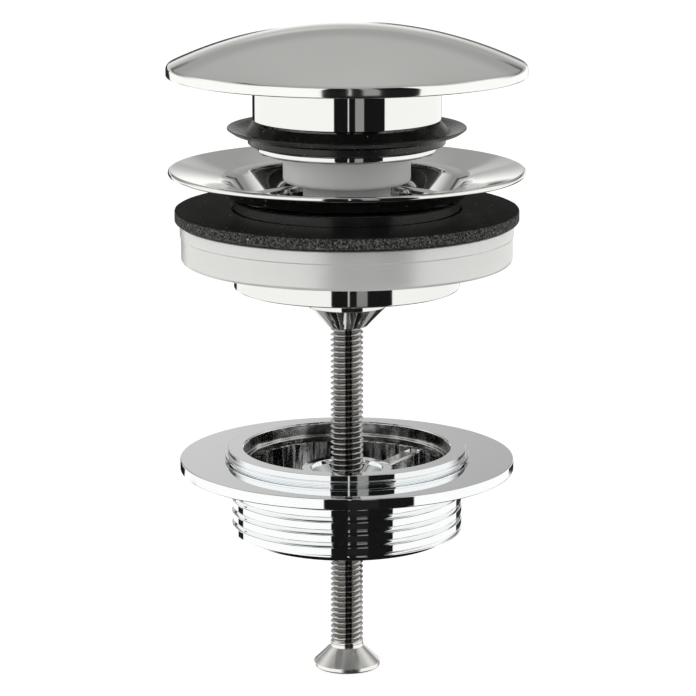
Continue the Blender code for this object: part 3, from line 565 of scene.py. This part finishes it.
def threaded(radius, depth, pitch, low, high, flat, root, segments, samples, fade):
    """The rows of an outside thread: the radius at angle a and height h is radius - depth times
    groove(h / pitch - a / 2 pi), where groove eases from 0 at the crest to 1 at the root. Flat and
    root are the shares of the pitch that crest and root take, and samples the rows in a pitch. The
    groove fades in over the length fade at both ends."""
    rows = max(2, round((high - low) / pitch * samples)) + 1
    height = np.linspace(low, high, rows)[:, None]
    angle = (np.arange(segments) * math.tau / segments)[None]

    def surface(a, h):
        phase = (h / pitch - a / math.tau) % 1.0
        away = np.abs(phase - 0.5) * 2.0
        groove = np.clip((1.0 - away - flat) / (1.0 - flat - root), 0.0, 1.0)
        groove = groove * groove * (3.0 - 2.0 * groove)
        ease = np.clip((h - low) / fade, 0, 1) * np.clip((high - h) / fade, 0, 1)
        return radius - depth * groove * ease

    step = 1e-4
    r = surface(angle, height)
    slope_h = (surface(angle, height + step) - surface(angle, height - step)) / (2 * step)
    slope_a = (surface(angle + step, height) - surface(angle - step, height)) / (2 * step)
    slope_h[[0, -1]] = 0.0
    out = np.stack([np.cos(angle), np.sin(angle)], axis=-1)
    around = np.stack([-np.sin(angle), np.cos(angle)], axis=-1)
    normal = np.empty((*r.shape, 3))
    normal[..., :2] = out - around * (slope_a / r)[..., None]
    normal[..., 2] = -slope_h
    normal /= np.linalg.norm(normal, axis=-1, keepdims=True)
    place = np.empty_like(normal)
    place[..., :2] = r[..., None] * out
    place[..., 2] = height
    return place, normal


def joined(below, thread, above, level, ring=False):
    """A turned path below a thread, the thread's rows, and a turned path above it, as one sheet."""
    place, normal = thread
    segments = place.shape[1]
    place = place + np.array([0.0, 0.0, level])
    foot = turned(below, level, False, segments)
    head = turned(above, level, False, segments)
    return np.concatenate([foot[0], place, head[0]]), np.concatenate([foot[1], normal, head[1]]), ring


SPINDLE_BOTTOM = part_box("plug_spindle")[0][2] / MM - CREST
SHOULDER_TOP, SHOULDER_BOTTOM = 11.7, 11.7 - 0.8
spindle_rod = [(0.0, SPINDLE_BOTTOM, 0), (2.5, SPINDLE_BOTTOM, 0.3), (2.5, SHOULDER_BOTTOM, 0.1)]
spindle_rod += [(3.6, SHOULDER_BOTTOM, 0.1), (3.6, SHOULDER_TOP, 0.1), (2.5, SHOULDER_TOP, 0.1)]
spindle_rod += [(2.5, THREAD_END, 0.1), (3.9, THREAD_END, 0.1), (4.0, THREAD_END + 0.1, 0)]
spindle_tip = [(4.0, SPINDLE_TOP - 0.6, 0), (3.5, SPINDLE_TOP, 0.1), (0.0, SPINDLE_TOP, 0)]
spindle_thread = threaded(4.0, 0.6, 1.0, THREAD_END + 0.2, SPINDLE_TOP - 0.7,
                          flat=0.0, root=0.2, segments=48, samples=18, fade=0.4)
push_spindle = piece(
    "push_spindle",
    steel("turned_steel", (0.78, 0.77, 0.75), 0.12, (1.0, 1.0, 9.0)),
    joined(spindle_rod, spindle_thread, spindle_tip, CREST),
)
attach(push_spindle, "slider")
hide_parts("plug_spindle")
refinish("rotor_clip", STEEL_WIRE)
refinish("lock_nut", steel("nut_steel", (0.76, 0.75, 0.73), 0.18, (1.0, 1.0, 6.0)))


# Plug body, chromed brass cylinder under the cap: its web rests on the lock nut and the cap
# screws down on it.
CAP_TOP, CAP_WALL, DOME_RADIUS = 24.6, 1.5, 74.5
PLUG_RADIUS, PLUG_CLEARANCE = 16.85, 0.3


def dome_drop(radius):
    """How far the dome has fallen below its apex at a radius: R - sqrt(R^2 - r^2)."""
    return DOME_RADIUS - math.sqrt(DOME_RADIUS ** 2 - radius ** 2)


PLUG_TOP = CAP_TOP - CAP_WALL - dome_drop(PLUG_RADIUS) - PLUG_CLEARANCE
PLUG = [(14.85, PLUG_TOP, 0.1), (PLUG_RADIUS, PLUG_TOP, 0.15), (PLUG_RADIUS, 7.5, 0.2), (14.85, 7.5, 0.2)]
PLUG += [(14.85, 18.1, 0.3), (4.3, 18.1, 0.1), (4.3, 19.6, 0.1), (14.85, 19.6, 0.3)]
CHROME = chromed("chrome_bright", 0.035, None, (0.90, 0.90, 0.89))
plug_barrel = piece("plug_barrel", CHROME, turned(PLUG, CREST, True))
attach(plug_barrel, "plug")
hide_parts("plug_body")


# Plug seal, black rubber, clamped between the plug body and its base: a band, a neck and a thin
# lip turned up like a saucer, which closes on the dished flange.
def rubber(name, colour, roughness, grain_size, grain_depth):
    """Moulded black rubber: nearly black, satin, with a fine even grain and pale dust."""
    skin = Tree(bpy.data.materials.new(name))
    place = skin.node("ShaderNodeTexCoord", None, None, "Object")
    grain = skin.noise(place, grain_size, 5.0)
    cloud = skin.noise(place, 200.0, 3.0)
    speck = skin.noise(place, 2100.0, 1.0)
    dust = skin.rise(speck, 0.735, 0.78)
    dark = tuple(0.6 * c for c in colour) + (1.0,)
    pale = tuple(1.4 * c for c in colour) + (1.0,)
    shade = skin.between(skin.between(dark, pale, cloud), (0.30, 0.30, 0.28, 1.0), dust)
    bump = skin.node("ShaderNodeBump", None, {"Strength": 0.4, "Distance": grain_depth, "Height": grain})
    coat = {"Base Color": shade, "Roughness": roughness + cloud * 0.15, "Normal": bump}
    return skin.surfaced(coat)


SEAL = [(14.85, 3.25, 0.1), (17.7, 3.25, 0.3), (17.7, 4.75, 0.3), (17.1, 4.75, 0.1), (17.5, 5.05, 0.2)]
SEAL += [(20.3, 5.2, 0.8), (21.5, 6.0, 0.15), (21.3, 6.2, 0.1), (20.3, 6.0, 0.8), (18.45, 5.4, 0.5)]
SEAL += [(17.25, 6.8, 0.3), (16.85, 7.2, 0.1), (14.85, 7.2, 0.1)]
lip_seal = piece("lip_seal", rubber("black_rubber", (0.008, 0.008, 0.0075), 0.20, 1500.0, 0.00004),
                 turned(SEAL, CREST, True))
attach(lip_seal, "plug")
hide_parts("plug_seal")


# Plug base, chromed ring: its spigot is pressed up into the plug body and its flange clamps the
# seal. The sleeve slides up into it.
BASE = [(11.75, 10.25, 0.1), (14.55, 10.25, 0.2), (14.55, 2.95, 0.1), (16.1, 2.95, 0.15), (16.1, 1.75, 0.5)]
BASE += [(11.75, 1.75, 0.2)]
plug_foot = piece("plug_foot", CHROME, turned(BASE, CREST, True))
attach(plug_foot, "plug")
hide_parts("plug_base")


# Cap, chromed brass dome with a narrow band at its rim. A threaded boss under its centre screws
# it on the spindle.
BAND_TOP, BAND_BOTTOM = 16.65, 16.066
CAP = [(r, CAP_TOP - dome_drop(r), 0) for r in np.linspace(0.0, 31.0, 32)]
CAP += arc(31.2, BAND_TOP, 1.0, 64.9, 0.0, 10) + arc(31.95, BAND_BOTTOM - 0.35, 0.25, 0.0, -90.0, 6)
CAP += [(30.75, BAND_BOTTOM - 0.6, 0.15)]
CAP += [(r, CAP_TOP - CAP_WALL - dome_drop(r), 0) for r in np.linspace(30.6, 7.3, 22)]
CAP += [(7.0, 19.9, 0.25), (4.3, 19.9, 0.2), (4.3, 22.3, 0.1), (0.0, 22.3, 0)]
cap_dome = piece("cap_dome", chromed("chrome_cap", 0.09, None, (0.96, 0.96, 0.95)), turned(CAP, CREST))
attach(cap_dome, "plug")
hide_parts("dome_cap")


# Flange gasket, black foam rubber, cut as a flat ring: it lies under the upper flange and seals
# the outlet. Its cut edges show the pores.
def foam(name):
    """Closed-cell foam: near black and matt, with pores, pale crumbs and a grainy cut edge."""
    cells = Tree(bpy.data.materials.new(name))
    place = cells.node("ShaderNodeTexCoord", None, None, "Object")
    upward = cells.parts(cells.node("ShaderNodeNewGeometry", None, None, "Normal"))[2]
    edge = cells.rise(cells.size(upward), 0.35, 0.8, 1.0, 0.0)
    pores = cells.node("ShaderNodeTexVoronoi", {"feature": "F1"}, {"Vector": place, "Scale": 3200.0})
    grain = cells.noise(place, 3000.0, 4.0)
    cloud = cells.noise(place, 160.0, 4.0)
    speck = cells.noise(place, 1500.0, 1.0)
    crumb = cells.rise(speck, 0.74, 0.78)
    top = cells.between((0.010, 0.010, 0.0097, 1.0), (0.022, 0.022, 0.0213, 1.0), cloud)
    patches = cells.rise(grain, 0.38, 0.68)
    cut = cells.between((0.014, 0.014, 0.014, 1.0), (0.115, 0.115, 0.11, 1.0), patches)
    shade = cells.between(cells.between(top, cut, edge), (0.28, 0.28, 0.26, 1.0), crumb)
    relief = pores * 0.5 + grain
    bump = cells.node("ShaderNodeBump", None, {"Strength": 0.6, "Distance": 0.00008, "Height": relief})
    dull = 0.48 + grain * 0.08
    coat = {"Base Color": shade, "Roughness": dull, "Specular IOR Level": 0.012, "Normal": bump}
    return cells.surfaced(coat)


def roughened(sheet, depth, seed):
    """Moves the points of a cut edge in by up to depth, by a sum of sines around the ring and up it."""
    place, normal, ring = sheet
    rng = np.random.default_rng(seed)
    angle = np.arctan2(place[..., 1], place[..., 0])
    wave = np.zeros(angle.shape)
    for turns in (5, 9, 17, 31, 53, 87):
        climb, first = rng.uniform(1, 4), rng.uniform(0, math.tau)
        wave += np.sin(turns * angle + place[..., 2] * climb + first) / turns ** 0.5
    wave = (wave - wave.max()) / np.ptp(wave)
    reach = np.hypot(place[..., 0], place[..., 1])
    calm, rough = 29.0, 31.0
    outer = np.clip((reach - calm) / (rough - calm), 0, 1)
    place = place.copy()
    place[..., :2] *= (1 + depth * wave * outer / reach)[..., None]
    return place, normal, ring


GASKET = [(20.7, -10.7, 0.1), (31.0, -10.7, 0.35), (31.0, -8.5, 0.35), (20.7, -8.5, 0.1)]
foam_washer = piece(
    "foam_washer", foam("foam_rubber"), roughened(turned(GASKET, CREST, True, 512), depth=0.18, seed=3))
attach(foam_washer, "seals")
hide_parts("flange_gasket")


# Seal ring, milky soft plastic: a ring of nearly square section that is squeezed against the
# underside of the basin. A band runs round its upper edge.
RING = [(20.7, -18.0, 0.3), (29.8, -18.0, 0.8), (29.8, -13.35, 0.2), (30.0, -13.15, 0.15)]
RING += [(30.0, -11.0, 0.25), (20.7, -11.0, 0.3)]


def milky(name):
    """Milky plastic: pale, with light soaking into it, faint clouds and fine level mould lines."""
    milk = Tree(bpy.data.materials.new(name))
    place = milk.node("ShaderNodeTexCoord", None, None, "Object")
    flat = milk.node("ShaderNodeMapping", None, {"Vector": place, "Scale": (0.12, 0.12, 1.0)})
    lines = milk.noise(flat, 1100.0, 4.0)
    cloud = milk.noise(place, 90.0, 5.0)
    shade = milk.between((0.63, 0.635, 0.625, 1.0), (0.74, 0.745, 0.735, 1.0), cloud * 0.6 + lines * 0.4)
    bump = milk.node("ShaderNodeBump", None, {"Strength": 0.2, "Distance": 0.00005, "Height": lines})
    coat = {"Base Color": shade, "Roughness": 0.24 + cloud * 0.12, "Normal": bump, "Metallic": 0.42}
    soaked = {"Subsurface Weight": 0.35, "Subsurface Radius": (1.0, 1.0, 1.0), "Subsurface Scale": 0.003}
    return milk.surfaced({**coat, **soaked})


milky_ring = piece("milky_ring", milky("milky_plastic"), turned(RING, CREST, True))
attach(milky_ring, "seals")
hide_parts("seal_ring")


# Lower body, cast brass, chromed: a flange with a beaded collar, a ledged bore with the screw's
# hub on two falling arms, and a tail with the pipe thread that the trap is screwed to.
LOWER = 39.8
THREAD_TOP, THREAD_LOW, THREAD_PITCH = -2.0, -13.545, 2.309
PIPE_RADIUS, RIB_DEPTH = 20.955, 0.75
NECK = PIPE_RADIUS - 1.48
TAIL_END = THREAD_LOW - 0.95
TAIL = [(17.0, -1.5, 0.15), (17.0, TAIL_END, 0.3), (NECK - 0.9, TAIL_END, 0.1), (NECK, TAIL_END + 0.9, 0.1)]
TAIL += [(PIPE_RADIUS, THREAD_LOW + 0.3, 0)]
COLLAR = [(NECK, THREAD_TOP, 0.1), (30.35, THREAD_TOP, 0.25), (30.35, 0.0, 0.2), (21.5, 0.0, 0.12)]
COLLAR += [(21.5, 0.28, 0.08), (22.2, 0.40, 0.08), (22.2, 0.80, 0.08), (21.65, 0.84, 0.08)]
COLLAR += [(21.65, 1.9, 0.12), (19.0, 1.9, 0.12), (18.8, 1.7, 0.12), (18.8, -0.5, 0.15)]
COLLAR += [(17.9, -0.5, 0.15), (17.9, -1.5, 0.15)]
LOWER_HUB = [(6.6, -2.1, 0.12), (6.5, -2.9, 0.1), (3.3, -5.7, 0.2), (3.3, -7.8, 0.2), (6.6, -11.1, 0.12)]
LOWER_HUB += [(8.4, -11.1, 0.3), (8.4, -2.1, 0.35)]
LOWER_BORE = (16.7, 18.88, LOWER - 14.3, LOWER + 1.5)
pipe = threaded(PIPE_RADIUS, RIB_DEPTH, THREAD_PITCH, THREAD_LOW + 0.35, THREAD_TOP - 0.15,
                flat=0.5, root=0.0, segments=256, samples=24, fade=0.9)
lower_fitting = piece(
    "lower_fitting",
    chromed("chrome_lower", 0.035, LOWER_BORE, (0.965, 0.985, 1.0), LOWER - 1.5),
    joined(TAIL, pipe, COLLAR, LOWER, True),
    turned(LOWER_HUB, LOWER, True),
    *(bar(7.9, 18.0, 3.0, 5.5, angle, LOWER - 1.6, fall=1.6) for angle in (43.0, 223.0)),
)
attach(lower_fitting, "lower")
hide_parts("lower_body")


# Clamping screw, stainless steel, 6 mm: a countersunk head with a cross recess, drawn up through
# the lower hub into the upper one, so that both bodies grip the basin.
HEAD, HEAD_EDGE, SHANK, SCREW_TOP = 6.05, 0.5, 3.0, 70.0


def recess(reach, depth, width, length, rows=44, segments=288):
    """The head's face with its cross recess, as rings from the middle out to reach: the height is depth
    inside the cross |x| < width / 2, |y| < length / 2 and its twin, and falls to 0 over a sloped wall."""
    slope_width = 0.28
    r = np.linspace(0, 1, rows)[:, None] * reach
    a = (np.arange(segments) * math.tau / segments)[None]

    def height(x, y):
        x, y = np.abs(x), np.abs(y)
        one = np.maximum(x - width / 2, y - length / 2)
        two = np.maximum(y - width / 2, x - length / 2)
        return depth * (1 - np.clip(np.minimum(one, two) / slope_width + 1.0, 0, 1))

    x, y = r * np.cos(a), r * np.sin(a)
    place = np.stack([x, y, height(x, y)], axis=-1)
    step = 0.02
    slope_x = (height(x + step, y) - height(x - step, y)) / (2 * step)
    slope_y = (height(x, y + step) - height(x, y - step)) / (2 * step)
    normal = np.stack([slope_x, slope_y, -np.ones_like(x)], axis=-1)
    normal /= np.linalg.norm(normal, axis=-1, keepdims=True)
    normal[0] = (0.0, 0.0, -1.0)
    return place, normal


thread = threaded(SHANK, 0.6, 1.0, 4.6, SCREW_TOP - 0.75,
                  flat=0.0, root=0.25, segments=56, samples=20, fade=0.7)
cone = [(SHANK, 4.5, 0), (SHANK, 3.95, 0.3), (HEAD, 0.9, 0.15), (HEAD, 0.0, 0.4), (HEAD - HEAD_EDGE, 0.0, 0)]
tip = [(SHANK - 0.02, SCREW_TOP - 0.7, 0), (2.3, SCREW_TOP, 0.15), (0.0, SCREW_TOP, 0)]
face, face_normal = recess(HEAD - HEAD_EDGE, depth=2.4, width=1.2, length=6.2)
clamping_screw = piece(
    "clamping_screw",
    steel("screw_steel", (0.93, 0.92, 0.90), 0.08, (1.0, 1.0, 3.0), (2.35, 2.8), 4.1),
    (face, face_normal, False),
    turned(cone, 0.0, False, 288),
    (*thread, False),
    turned(tip, 0.0, False, 48),
)
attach(clamping_screw, "screw")
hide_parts("clamp_screw")
